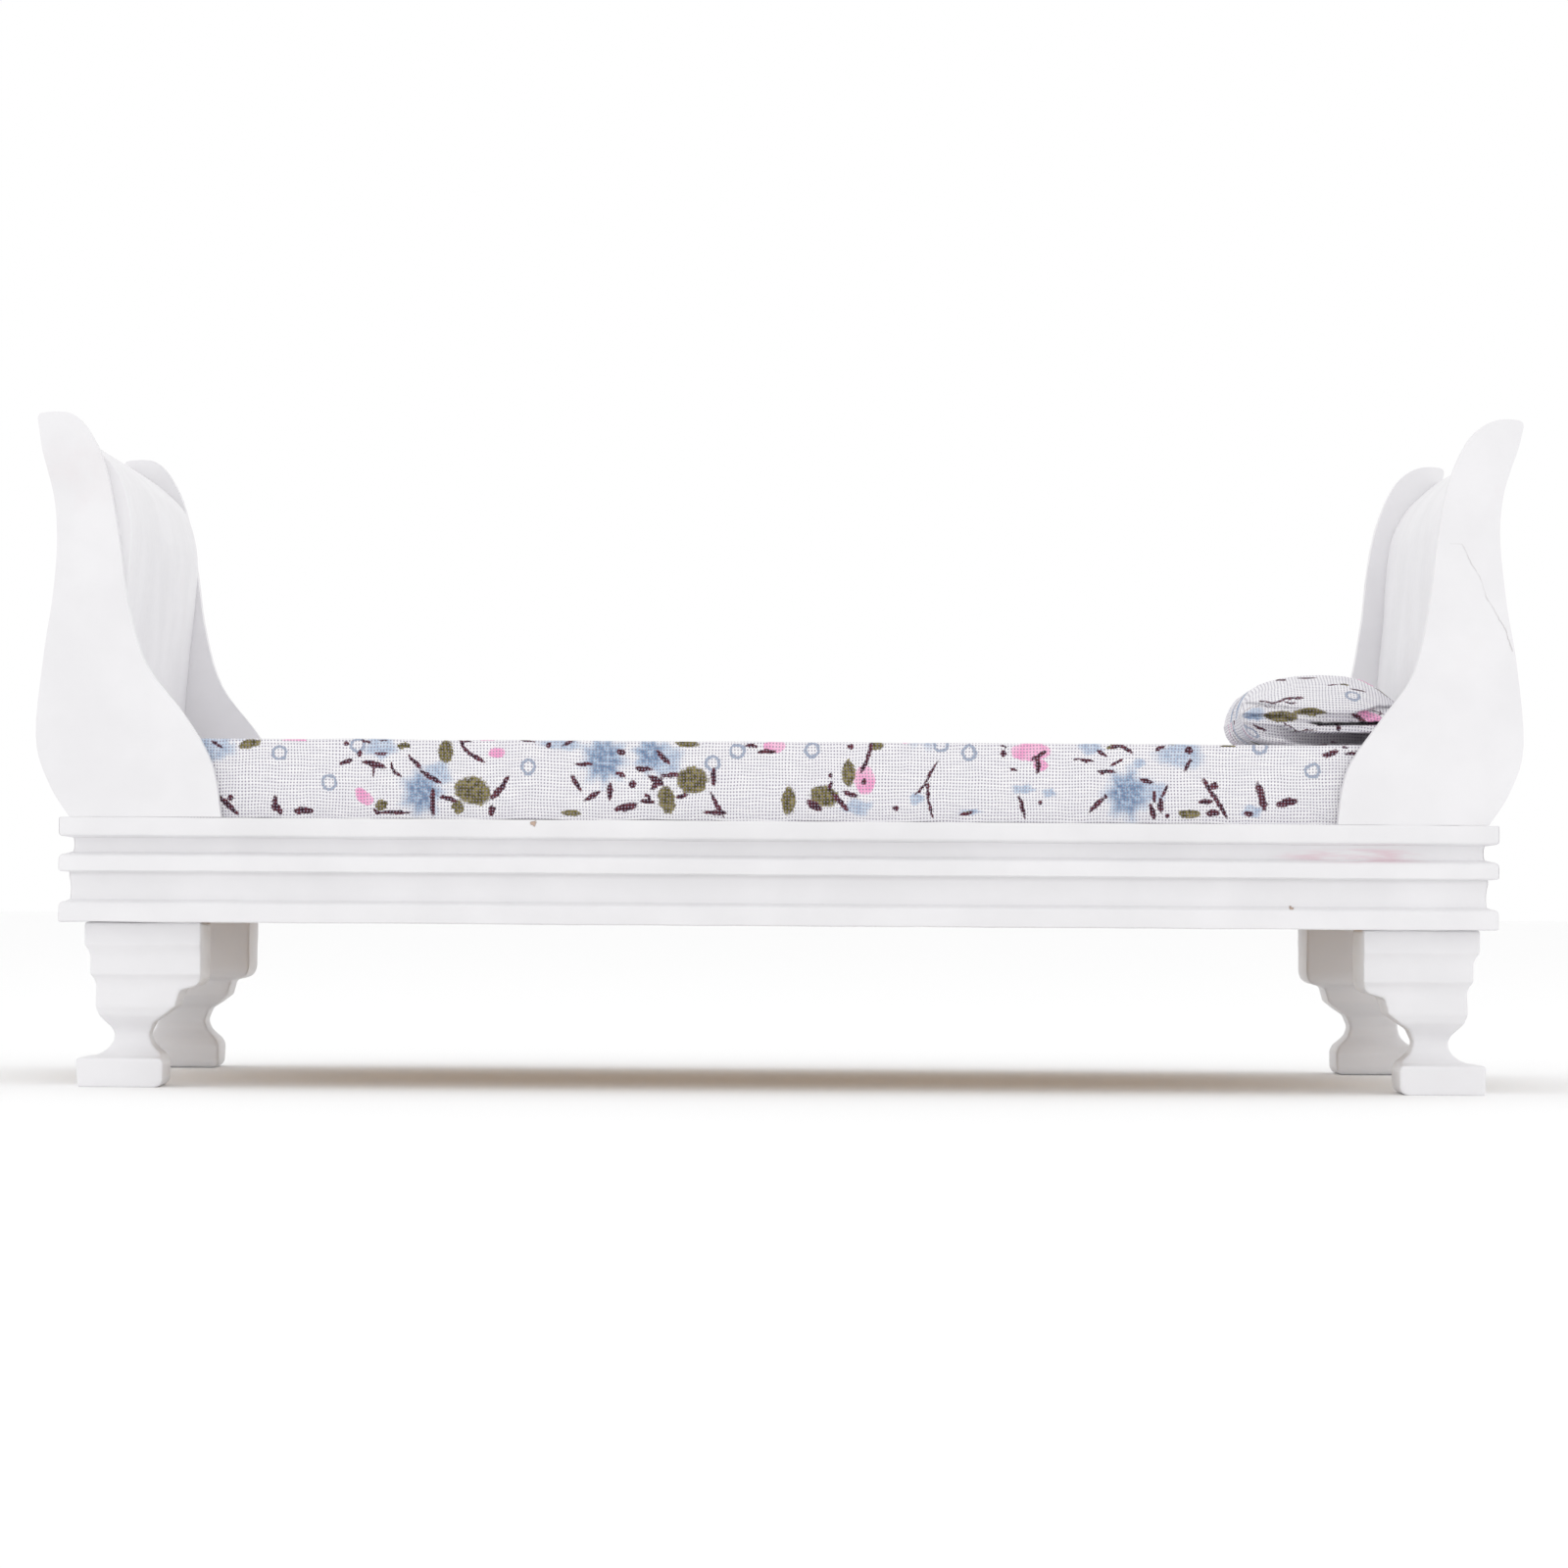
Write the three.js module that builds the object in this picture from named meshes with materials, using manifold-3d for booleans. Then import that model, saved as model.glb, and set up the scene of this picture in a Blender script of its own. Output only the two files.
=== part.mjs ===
// Dolls' house single bed with low S-curved sleigh ends, a moulded frame on four
// bracket feet, a fabric-wrapped mattress and one pillow.
//
// Millimetres, +Z up, +X towards the head, -Y towards the front. The origin is on the
// floor, under the middle of the bed.

import * as THREE from "three";
import { mergeVertices } from "three/addons/utils/BufferGeometryUtils.js";
import Module from "manifold-3d";

const wasm = await Module();
wasm.setup();

// ---- driving dimensions ----

const LENGTH = 174; // over the rails
const WIDTH = 88; // over the rails
const FOOT_HEIGHT = 20;
const RAIL_HEIGHT = 12.7;
const RAIL_THICKNESS = 6;

const END_BOARD_THICKNESS = 2.4; // the four S-shaped side boards
const END_BOARD_SETBACK = 0.2; // behind the rails' outer face
const BACK_BOARD_SET_IN = { foot: 1.3, head: 0.15 }; // glued this much further in than the front ones
const FOOT_PANEL_WIDEST_U = 8.3; // how far each panel reaches in from its rail's end
const HEAD_PANEL_WIDEST_U = 6.55;

const BED_BOARD_THICKNESS = 2.5;
const CLEAT_THICKNESS = 3;
const CLEAT_HEIGHT = 5;
const CORNER_BLOCK_SIZE = 10.9;

const FOOT_SET_OUT = { head_end_front: 0.9 }; // glued this much further out along the bed
const FOOT_BLOCK_OUTER = 2.8; // the foot's block, in from the rails' outer faces
const FOOT_BLOCK_INNER = 16.9;
const FRONT_NECK_OUTER = 6.25; // outer side of the neck, in from the rails' outer faces
const BACK_NECK_OUTER = 4.1;
const DOWEL_AXIS = (FOOT_BLOCK_OUTER + FOOT_BLOCK_INNER) / 2;
const DOWEL_RADIUS = 1.5;
const DOWEL_IN_FOOT = 6;
const DOWEL_IN_BLOCK = 7;

const MATTRESS_HEIGHT = 9.65;
const COVER_THICKNESS = 0.3;
const COVER_HEM = 7; // cloth turned in under the mattress
const CARD_THICKNESS = 0.9;

const PILLOW_WIDTH = 21.4; // along the bed
const PILLOW_LENGTH = 58; // across the bed
const PILLOW_HEIGHT = 8.8;
const PILLOW_CORNER = 6.5;
const PILLOW_EDGE = 5.2; // how far in the rounded edge reaches
const PILLOW_FLAT = 0.9; // upright part of its edge
const PILLOW_CENTRE_X = 68.6;
const PILLOW_TURN = -1.9; // degrees, as it was put down

const GLUE_LINE = 0.02;
const MITRE_GAP = 0.05; // each side of a mitre
const FIT_GAP = 0.3; // between pieces that come apart
const WRAP_GAP = 0.05; // between the cover and what it holds

const CURVE_STEPS = 4; // facets on one short curve of an outline
const ROUND_STEPS = 20; // facets round a dowel

// ---- heights and places that follow from them ----

const RAIL_TOP = FOOT_HEIGHT + RAIL_HEIGHT;
const FRAME_TOP = RAIL_TOP + GLUE_LINE;
const BED_BOARD_BOTTOM = RAIL_TOP - BED_BOARD_THICKNESS;
const HALF_LENGTH = LENGTH / 2;
const HALF_WIDTH = WIDTH / 2;
const INNER_HALF_LENGTH = HALF_LENGTH - RAIL_THICKNESS - GLUE_LINE;
const INNER_HALF_WIDTH = HALF_WIDTH - RAIL_THICKNESS - GLUE_LINE;
const END_BOARD_INNER_Y = HALF_WIDTH - END_BOARD_SETBACK - END_BOARD_THICKNESS;

// ---- materials ----

function paint(color, roughness) {
  return new THREE.MeshStandardMaterial({ color, roughness, metalness: 0 });
}

const whitePaint = paint(0xf2f2f3, 0.45);
const bareWood = paint(0xd8b98a, 0.7);
const plywood = paint(0xcfae7c, 0.75);
const printedCotton = paint(0xeceaf0, 0.9);
const wadding = paint(0xf0ead8, 0.95);
const greyCard = paint(0xb4aea2, 0.9);

// ---- outlines ----
// The two end outlines are drawn from a rail's end: u runs in from the end, v runs up
// from the rail's top. Rail and foot outlines are drawn in from the outer face and up.

// Moulded rail: fillet, cove, bead, deeper cove and top fillet on the outer face.
function railOutline() {
  const outline = new THREE.Shape();
  outline.moveTo(0, 0.15);
  outline.lineTo(0, 1.85);
  outline.quadraticCurveTo(0, 2.5, 0.8, 2.5);
  outline.lineTo(1.3, 2.75);
  outline.quadraticCurveTo(1.55, 4.2, 1.2, 5.5);
  outline.lineTo(1.2, 6.05);
  outline.lineTo(0.15, 6.15);
  outline.lineTo(0, 6.3);
  outline.lineTo(0, 7.5);
  outline.quadraticCurveTo(0, 8.25, 0.75, 8.25);
  outline.lineTo(1.6, 8.5);
  outline.quadraticCurveTo(1.85, 9.35, 1.6, 10.2);
  outline.lineTo(0.35, 10.4);
  outline.quadraticCurveTo(0.05, 10.45, 0, 10.8);
  outline.lineTo(0, RAIL_HEIGHT - 0.15);
  outline.lineTo(0.15, RAIL_HEIGHT);
  outline.lineTo(RAIL_THICKNESS, RAIL_HEIGHT);
  outline.lineTo(RAIL_THICKNESS, 0);
  outline.lineTo(0.15, 0);
  outline.closePath();
  return outline;
}

// Bracket foot: pad, neck, ovolo and stepped block on the outer side, plain block over
// an ogee on the inner side. The neck is waisted at the front and left thick at the back.
function footOutline(neckOuter) {
  const top = FOOT_HEIGHT - GLUE_LINE;
  const outline = new THREE.Shape();
  outline.moveTo(2.15, 0);
  outline.lineTo(2.05, 3.5);
  outline.lineTo(Math.max(neckOuter - 2.15, 2.2), 3.75);
  outline.bezierCurveTo(neckOuter - 0.65, 4.3, neckOuter + 0.05, 5.2, neckOuter, 6.4);
  outline.bezierCurveTo(neckOuter - 0.05, 7.5, 4.3, 7.9, 4.1, 9.7);
  outline.lineTo(4.2, 12.2);
  outline.quadraticCurveTo(4.1, 13.2, 3.5, 13.6);
  outline.lineTo(3.5, 15.9);
  outline.quadraticCurveTo(3.4, 16.5, FOOT_BLOCK_OUTER, 17.2);
  outline.lineTo(FOOT_BLOCK_OUTER, top);
  outline.lineTo(FOOT_BLOCK_INNER, top);
  outline.lineTo(FOOT_BLOCK_INNER, 13.6);
  outline.quadraticCurveTo(16.8, 12.2, 15.6, 12.0);
  outline.lineTo(14.3, 11.7);
  outline.bezierCurveTo(14.3, 8.0, 10.6, 9.2, 10.45, 6.3);
  outline.bezierCurveTo(10.7, 4.2, 12.2, 4.6, 12.55, 3.0);
  outline.lineTo(12.5, 0.9);
  outline.quadraticCurveTo(12.3, 0, 11.6, 0);
  outline.closePath();
  return outline;
}

// S-shaped side board: a full belly low down on the outer edge, a waist, and a tip that
// leans out; the inner edge sweeps down to the rail in an ogee. The two ends' boards were
// cut by hand and differ a little.
const BOARD_BELLY = points([-1.25, 3.9], [-2.9, 9.5], [-2.05, 19.4]);
const BOARD_TAIL = points([18.3, 6.6], [19.5, 0]);
const BOARD_SHAPES = {
  foot: {
    outer: points([-1.05, 26.5], [-0.55, 33], [-0.85, 38], [-1.75, 41.8], [-2.45, 44.4], [-3.0, 48.1]),
    corner: [-3.0, 48.8, -2.2, 48.85],
    inner: points(
      [-0.6, 48.97], [1.1, 48.75], [2.5, 47.65], [3.6, 46], [4.7, 43.8], [5.75, 40.3], [6.9, 34],
      [8.05, 25.9], [10.3, 18.5], [15, 12.3],
    ),
  },
  head: {
    outer: points([-0.85, 26.5], [0, 34.5], [-0.3, 39.5], [-1.2, 42.9], [-2.1, 45.5], [-2.75, 48.2]),
    corner: [-2.8, 48.95, -2.1, 49.05],
    inner: points(
      [-0.8, 49.15], [0.6, 49], [2.1, 48.35], [3.5, 47.1], [4.55, 45.4], [5.5, 43.3], [6.65, 39.7],
      [7.6, 34.2], [8.4, 26.9], [10.3, 18.3], [14.3, 12.6],
    ),
  },
};

function sideBoardOutline({ outer, corner, inner }) {
  const outline = new THREE.Shape();
  outline.moveTo(1.2, 0);
  outline.splineThru([...BOARD_BELLY, ...outer]);
  outline.quadraticCurveTo(...corner);
  outline.splineThru([...inner, ...BOARD_TAIL]);
  outline.closePath();
  return outline;
}

// End panels seen from their edge, each a thin board from the rail to a top that rolls
// outward. The foot end's leans in over the bed, the head end's leans out.
const FOOT_PANEL = {
  outer: points(
    [4.2, 0], [4.5, 9], [4.8, 16], [5.35, 23], [6, 30.5], [5.9, 36], [4.5, 40.2], [2.2, 43],
    [-0.1, 44.9], [-2, 46.2],
  ),
  inner: points(
    [6.2, 0], [6.5, 9], [6.8, 16], [7.35, 23], [8.1, 30.5], [8.25, 36], [6.9, 41.3],
    [4.3, 44.3], [1.2, 46.6], [-1.4, 48],
  ),
};
const HEAD_PANEL = {
  outer: points(
    [4.5, 0], [4.5, 9], [4.5, 16], [4.2, 22], [3.65, 27.5], [3.35, 33], [2.5, 38], [0.9, 41.7],
    [-0.6, 44.1], [-1.9, 46],
  ),
  inner: points(
    [6.5, 0], [6.5, 9], [6.5, 16], [6.2, 22], [5.65, 27.5], [5.35, 33], [4.7, 38.7], [2.8, 42.8],
    [0.3, 45.4], [-1.9, 47.2],
  ),
};

function endPanelOutline({ outer, inner }) {
  const [outerBottom, ...outerRest] = outer;
  const [innerTop, ...innerRest] = [...inner].reverse();
  const outline = new THREE.Shape();
  outline.moveTo(outerBottom.x, outerBottom.y);
  outline.splineThru(outerRest);
  outline.lineTo(innerTop.x, innerTop.y);
  outline.splineThru(innerRest);
  outline.closePath();
  return outline;
}

function points(...pairs) {
  return pairs.map(([x, y]) => new THREE.Vector2(x, y));
}

// ---- shapes ----

// A box from its lowest to its highest corner.
function boxBetween(low, high) {
  const size = high.map((value, axis) => value - low[axis]);
  const box = new THREE.BoxGeometry(...size);
  box.translate(...low.map((value, axis) => value + size[axis] / 2));
  return box;
}

// Extrudes an outline drawn as (across, up) along +X, starting at X = 0.
function extrudeAlongX(outline, length) {
  const solid = new THREE.ExtrudeGeometry(outline, {
    depth: length,
    bevelEnabled: false,
    curveSegments: CURVE_STEPS,
  });
  return solid.applyMatrix4(
    new THREE.Matrix4().makeBasis(
      new THREE.Vector3(0, 1, 0),
      new THREE.Vector3(0, 0, 1),
      new THREE.Vector3(1, 0, 0),
    ),
  );
}

// Extrudes an outline drawn as (along X, up) towards -Y, starting at Y = 0.
function extrudeAlongY(outline, length) {
  const solid = new THREE.ExtrudeGeometry(outline, {
    depth: length,
    bevelEnabled: false,
    curveSegments: CURVE_STEPS,
  });
  return solid.rotateX(Math.PI / 2);
}

function toManifold(geometry) {
  const bare = geometry.clone();
  bare.deleteAttribute("normal");
  bare.deleteAttribute("uv");
  const merged = mergeVertices(bare, 1e-4);
  return new wasm.Manifold(
    new wasm.Mesh({
      numProp: 3,
      vertProperties: new Float32Array(merged.attributes.position.array),
      triVerts: new Uint32Array(merged.index.array),
    }),
  );
}

function toGeometry(manifold) {
  const mesh = manifold.getMesh();
  const geometry = new THREE.BufferGeometry();
  geometry.setAttribute("position", new THREE.BufferAttribute(mesh.vertProperties, 3));
  geometry.setIndex(new THREE.BufferAttribute(mesh.triVerts, 1));
  geometry.computeVertexNormals();
  return geometry;
}

function upright(radius, bottom, top) {
  const peg = new THREE.CylinderGeometry(radius, radius, top - bottom, ROUND_STEPS);
  peg.rotateX(Math.PI / 2);
  peg.translate(0, 0, (bottom + top) / 2);
  return peg;
}

// ---- pieces ----

// One rail, centred on X = 0 with its outer face on Y = 0 and its ends mitred inward.
function railGeometry(length) {
  const rail = extrudeAlongX(railOutline(), length);
  rail.translate(-length / 2, 0, 0);
  const position = rail.getAttribute("position");
  for (let i = 0; i < position.count; i += 1) {
    const end = Math.sign(position.getX(i));
    const mitred = length / 2 - position.getY(i) - MITRE_GAP;
    position.setX(i, end * mitred);
  }
  return rail;
}

// One foot in its own corner: both outer faces start at X = 0 and Y = 0, +X and +Y in.
// socketX and socketY place the dowel's socket, from above.
function footGeometry(neckOuter, socketX, socketY) {
  const outline = footOutline(neckOuter);
  const reach = 20; // longer than the foot is wide
  const seenFromFront = toManifold(extrudeAlongY(outline, reach).translate(0, reach, 0));
  const seenFromSide = toManifold(extrudeAlongX(outline, reach));
  const socket = upright(DOWEL_RADIUS + FIT_GAP, FOOT_HEIGHT - DOWEL_IN_FOOT - FIT_GAP, FOOT_HEIGHT + 1);
  socket.translate(socketX, socketY, 0);
  return toGeometry(seenFromFront.intersect(seenFromSide).subtract(toManifold(socket)));
}

// One corner block, in the same corner frame as the foot, with a socket from below.
function cornerBlockGeometry() {
  const inner = RAIL_THICKNESS + GLUE_LINE;
  const block = boxBetween(
    [inner, inner, FOOT_HEIGHT],
    [inner + CORNER_BLOCK_SIZE, inner + CORNER_BLOCK_SIZE, BED_BOARD_BOTTOM - GLUE_LINE],
  );
  const socket = upright(DOWEL_RADIUS + FIT_GAP, FOOT_HEIGHT - 1, FOOT_HEIGHT + DOWEL_IN_BLOCK + FIT_GAP);
  socket.translate(DOWEL_AXIS, DOWEL_AXIS, 0);
  return toGeometry(toManifold(block).subtract(toManifold(socket)));
}

function dowelGeometry() {
  const dowel = upright(DOWEL_RADIUS, FOOT_HEIGHT - DOWEL_IN_FOOT, FOOT_HEIGHT + DOWEL_IN_BLOCK);
  return dowel.translate(DOWEL_AXIS, DOWEL_AXIS, 0);
}

// Cloth wrapped over the top and sides and turned in underneath, open below.
function mattressCoverGeometry(low, high) {
  const t = COVER_THICKNESS;
  const outside = boxBetween(low, high);
  const inside = boxBetween([low[0] + t, low[1] + t, low[2] + t], [high[0] - t, high[1] - t, high[2] - t]);
  const opening = boxBetween(
    [low[0] + COVER_HEM, low[1] + COVER_HEM, low[2] - 1],
    [high[0] - COVER_HEM, high[1] - COVER_HEM, low[2] + 2 * t],
  );
  return toGeometry(toManifold(outside).subtract(toManifold(inside)).subtract(toManifold(opening)));
}

function roundedRectangle(width, height, corner) {
  const x = width / 2 - corner;
  const y = height / 2 - corner;
  const quarter = Math.PI / 2;
  const outline = new THREE.Shape();
  outline.absarc(-x, -y, corner, 2 * quarter, 3 * quarter);
  outline.absarc(x, -y, corner, 3 * quarter, 4 * quarter);
  outline.absarc(x, y, corner, 0, quarter);
  outline.absarc(-x, y, corner, quarter, 2 * quarter);
  outline.closePath();
  return outline;
}

// A plain cushion: a rounded rectangle with a full round edge, standing on Z = 0.
function pillowGeometry() {
  const edgeHeight = (PILLOW_HEIGHT - PILLOW_FLAT) / 2;
  const cushion = new THREE.ExtrudeGeometry(roundedRectangle(PILLOW_WIDTH, PILLOW_LENGTH, PILLOW_CORNER), {
    depth: PILLOW_FLAT,
    bevelEnabled: true,
    bevelThickness: edgeHeight,
    bevelSize: PILLOW_EDGE,
    bevelOffset: -PILLOW_EDGE,
    bevelSegments: 5,
    curveSegments: 5,
  });
  return cushion.translate(0, 0, edgeHeight);
}

// ---- assembly ----

const bed = new THREE.Group();

function add(name, geometry, material) {
  const mesh = new THREE.Mesh(geometry, material);
  mesh.name = name;
  bed.add(mesh);
  return mesh;
}

function addRails() {
  const sides = [
    ["front_rail", LENGTH, [0, -HALF_WIDTH], 0],
    ["head_rail", WIDTH, [HALF_LENGTH, 0], 1],
    ["back_rail", LENGTH, [0, HALF_WIDTH], 2],
    ["foot_rail", WIDTH, [-HALF_LENGTH, 0], 3],
  ];
  for (const [name, length, [x, y], quarterTurns] of sides) {
    const rail = add(name, railGeometry(length), whitePaint);
    rail.position.set(x, y, FOOT_HEIGHT);
    rail.rotation.z = (quarterTurns * Math.PI) / 2;
  }
}

// The corner frame is turned by quarter turns, so each corner keeps its outer faces out.
function addCorners() {
  const corners = [
    ["foot_end_front", -1, -1, 0],
    ["head_end_front", 1, -1, 1],
    ["head_end_back", 1, 1, 2],
    ["foot_end_back", -1, 1, 3],
  ];
  for (const [corner, sideX, sideY, quarterTurns] of corners) {
    const setOut = FOOT_SET_OUT[corner] ?? 0;
    const neckOuter = sideY < 0 ? FRONT_NECK_OUTER : BACK_NECK_OUTER;
    const socket = quarterTurns % 2 ? [DOWEL_AXIS, DOWEL_AXIS + setOut] : [DOWEL_AXIS + setOut, DOWEL_AXIS];
    const pieces = [
      add(`${corner}_foot`, footGeometry(neckOuter, ...socket), whitePaint),
      add(`${corner}_corner_block`, cornerBlockGeometry(), bareWood),
      add(`${corner}_dowel`, dowelGeometry(), bareWood),
    ];
    for (const piece of pieces) {
      piece.position.set(sideX * HALF_LENGTH, sideY * HALF_WIDTH, 0);
      piece.rotation.z = (quarterTurns * Math.PI) / 2;
    }
    pieces[0].position.x += sideX * setOut;
  }
}

function addBedBoardAndCleats() {
  const x = INNER_HALF_LENGTH;
  const y = INNER_HALF_WIDTH;
  add("bed_board", boxBetween([-x, -y, BED_BOARD_BOTTOM], [x, y, RAIL_TOP]), plywood);
  const top = BED_BOARD_BOTTOM - GLUE_LINE;
  const bottom = top - CLEAT_HEIGHT;
  const clearX = x - CORNER_BLOCK_SIZE - FIT_GAP;
  const clearY = y - CORNER_BLOCK_SIZE - FIT_GAP;
  const t = CLEAT_THICKNESS;
  add("front_cleat", boxBetween([-clearX, -y, bottom], [clearX, -y + t, top]), bareWood);
  add("back_cleat", boxBetween([-clearX, y - t, bottom], [clearX, y, top]), bareWood);
  add("head_cleat", boxBetween([x - t, -clearY, bottom], [x, clearY, top]), bareWood);
  add("foot_cleat", boxBetween([-x, -clearY, bottom], [-x + t, clearY, top]), bareWood);
}

// Side boards and panels are drawn from the foot end and mirrored by a half turn.
function addEnds() {
  const panelLength = 2 * (END_BOARD_INNER_Y - GLUE_LINE);
  const ends = [
    ["foot", -HALF_LENGTH, 0, "footboard_panel", FOOT_PANEL],
    ["head", HALF_LENGTH, Math.PI, "headboard_panel", HEAD_PANEL],
  ];
  for (const [end, x, turn, panelName, panelShape] of ends) {
    const near = extrudeAlongY(sideBoardOutline(BOARD_SHAPES[end]), END_BOARD_THICKNESS);
    const far = near.clone();
    near.translate(0, -END_BOARD_INNER_Y, 0);
    far.translate(0, END_BOARD_INNER_Y + END_BOARD_THICKNESS, 0);
    const [front, back] = turn ? [far, near] : [near, far];
    back.translate(BACK_BOARD_SET_IN[end], 0, 0);
    const panel = extrudeAlongY(endPanelOutline(panelShape), panelLength).translate(0, panelLength / 2, 0);
    const pieces = [
      add(`${end}_side_board_front`, front, whitePaint),
      add(`${end}_side_board_back`, back, whitePaint),
      add(panelName, panel, whitePaint),
    ];
    for (const piece of pieces) {
      piece.position.set(x, 0, FRAME_TOP);
      piece.rotation.z = turn;
    }
  }
}

function addMattress() {
  const footEnd = FOOT_PANEL_WIDEST_U + FIT_GAP - HALF_LENGTH;
  const headEnd = HALF_LENGTH - HEAD_PANEL_WIDEST_U - FIT_GAP;
  const halfWidth = END_BOARD_INNER_Y - FIT_GAP;
  const bottom = RAIL_TOP + WRAP_GAP;
  const low = [footEnd, -halfWidth, bottom];
  const high = [headEnd, halfWidth, RAIL_TOP + MATTRESS_HEIGHT];
  const inset = COVER_THICKNESS + WRAP_GAP;
  const cardBottom = bottom + inset;
  const cardTop = cardBottom + CARD_THICKNESS;
  add("mattress_cover", mattressCoverGeometry(low, high), printedCotton);
  add(
    "mattress_card",
    boxBetween([low[0] + inset, low[1] + inset, cardBottom], [high[0] - inset, high[1] - inset, cardTop]),
    greyCard,
  );
  add(
    "mattress_core",
    boxBetween([low[0] + inset, low[1] + inset, cardTop + GLUE_LINE], high.map((value) => value - inset)),
    wadding,
  );
}

function addPillow() {
  const pillow = add("pillow", pillowGeometry(), printedCotton);
  pillow.position.set(PILLOW_CENTRE_X, 0, RAIL_TOP + MATTRESS_HEIGHT + WRAP_GAP);
  pillow.rotation.z = THREE.MathUtils.degToRad(PILLOW_TURN);
}

addRails();
addCorners();
addBedBoardAndCleats();
addEnds();
addMattress();
addPillow();

export default bed;
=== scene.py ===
"""Looks for the dolls' house single bed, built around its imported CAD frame.

Metres, +Z up, +X towards the head and the pillow, -Y towards the front. Lengths that are
easier to read in millimetres are written as a number times MM.
"""

import math

import bmesh
import bpy
import numpy as np
from mathutils import Matrix, Vector, noise


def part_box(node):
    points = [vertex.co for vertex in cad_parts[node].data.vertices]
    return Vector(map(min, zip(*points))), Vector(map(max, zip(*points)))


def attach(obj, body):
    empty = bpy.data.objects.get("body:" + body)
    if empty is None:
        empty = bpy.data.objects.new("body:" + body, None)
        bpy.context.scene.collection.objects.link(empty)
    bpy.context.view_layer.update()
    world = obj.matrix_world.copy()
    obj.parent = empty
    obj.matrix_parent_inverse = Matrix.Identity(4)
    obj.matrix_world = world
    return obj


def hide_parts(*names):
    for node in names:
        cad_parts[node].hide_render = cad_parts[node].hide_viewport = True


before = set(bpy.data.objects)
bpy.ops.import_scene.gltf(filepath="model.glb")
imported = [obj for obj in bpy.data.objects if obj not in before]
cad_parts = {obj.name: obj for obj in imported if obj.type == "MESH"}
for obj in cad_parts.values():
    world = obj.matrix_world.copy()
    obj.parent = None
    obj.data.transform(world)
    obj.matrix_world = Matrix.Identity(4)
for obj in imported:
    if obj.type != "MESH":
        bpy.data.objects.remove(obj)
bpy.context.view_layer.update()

MM = 0.001

RAILS = ["front_rail", "back_rail", "head_rail", "foot_rail"]
FEET = [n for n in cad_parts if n.endswith("_foot")]
BOARDS = [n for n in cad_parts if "_side_board_" in n]
PANELS = ["headboard_panel", "footboard_panel"]


# ---- camera, light and floor ----


def make_camera():
    """Almost square-on to the front, a little below the mattress, with a slight roll."""
    yaw, pitch, roll = math.radians(0.067), math.radians(0.867), math.radians(0.367)
    data = bpy.data.cameras.new("camera")
    data.sensor_width = 36
    data.lens = 138.0
    data.clip_start = 0.05
    data.clip_end = 20
    camera = bpy.data.objects.new("camera", data)
    bpy.context.scene.collection.objects.link(camera)
    turned = (
        Matrix.Rotation(-yaw, 4, "Z")
        @ Matrix.Rotation(math.pi / 2 + pitch, 4, "X")
        @ Matrix.Rotation(roll, 4, "Z")
    )
    place = Vector((-0.30 * MM, -770.1 * MM, 26.2 * MM))
    camera.matrix_world = Matrix.Translation(place) @ turned
    bpy.context.scene.camera = camera


def add_softbox(name, place, width, height, power):
    """A rectangular area light at place, aimed at the middle of the bed."""
    data = bpy.data.lights.new(name, "AREA")
    data.shape = "RECTANGLE"
    data.size = width
    data.size_y = height
    data.energy = power
    light = bpy.data.objects.new(name, data)
    bpy.context.scene.collection.objects.link(light)
    aim = Vector((0, 0, 40 * MM)) - Vector(place)
    light.location = place
    light.rotation_mode = "QUATERNION"
    light.rotation_quaternion = aim.to_track_quat("-Z", "Y")


def make_studio():
    """White surroundings, five soft lights and a pale floor."""
    scene = bpy.context.scene
    scene.view_settings.view_transform = "Standard"
    world = bpy.data.worlds.new("studio")
    world.use_nodes = True
    background = world.node_tree.nodes["Background"]
    background.inputs["Color"].default_value = (1.0, 1.0, 1.0, 1)
    background.inputs["Strength"].default_value = 1.0
    scene.world = world
    add_softbox("key", (-0.05, -0.95, 0.4), 0.6, 0.6, 0.26)
    add_softbox("front", (0.05, -1.1, 0.05), 1.3, 0.16, 0.42)
    add_softbox("left", (-0.8, -0.2, 0.3), 0.5, 0.4, 0.3)
    add_softbox("right", (0.8, -0.2, 0.3), 0.5, 0.4, 0.3)
    add_softbox("top", (0.0, 0.15, 0.9), 0.6, 0.6, 0.2)

    mesh = bpy.data.meshes.new("floor")
    reach = 3.0
    corners = [(-reach, -reach, 0), (reach, -reach, 0), (reach, reach, 0), (-reach, reach, 0)]
    mesh.from_pydata(corners, [], [(0, 1, 2, 3)])
    floor = bpy.data.objects.new("floor", mesh)
    bpy.context.scene.collection.objects.link(floor)
    material = bpy.data.materials.new("pale_floor")
    material.use_nodes = True
    shader = material.node_tree.nodes["Principled BSDF"]
    shader.inputs["Base Color"].default_value = (0.97, 0.97, 0.97, 1)
    shader.inputs["Roughness"].default_value = 0.9
    mesh.materials.append(material)


# ---- shader graph helper ----


def linear(red, green, blue):
    """An 8-bit screen colour as a linear RGBA."""

    def channel(value):
        share = value / 255
        return share / 12.92 if share <= 0.04045 else ((share + 0.055) / 1.055) ** 2.4

    return (channel(red), channel(green), channel(blue), 1)


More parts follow.
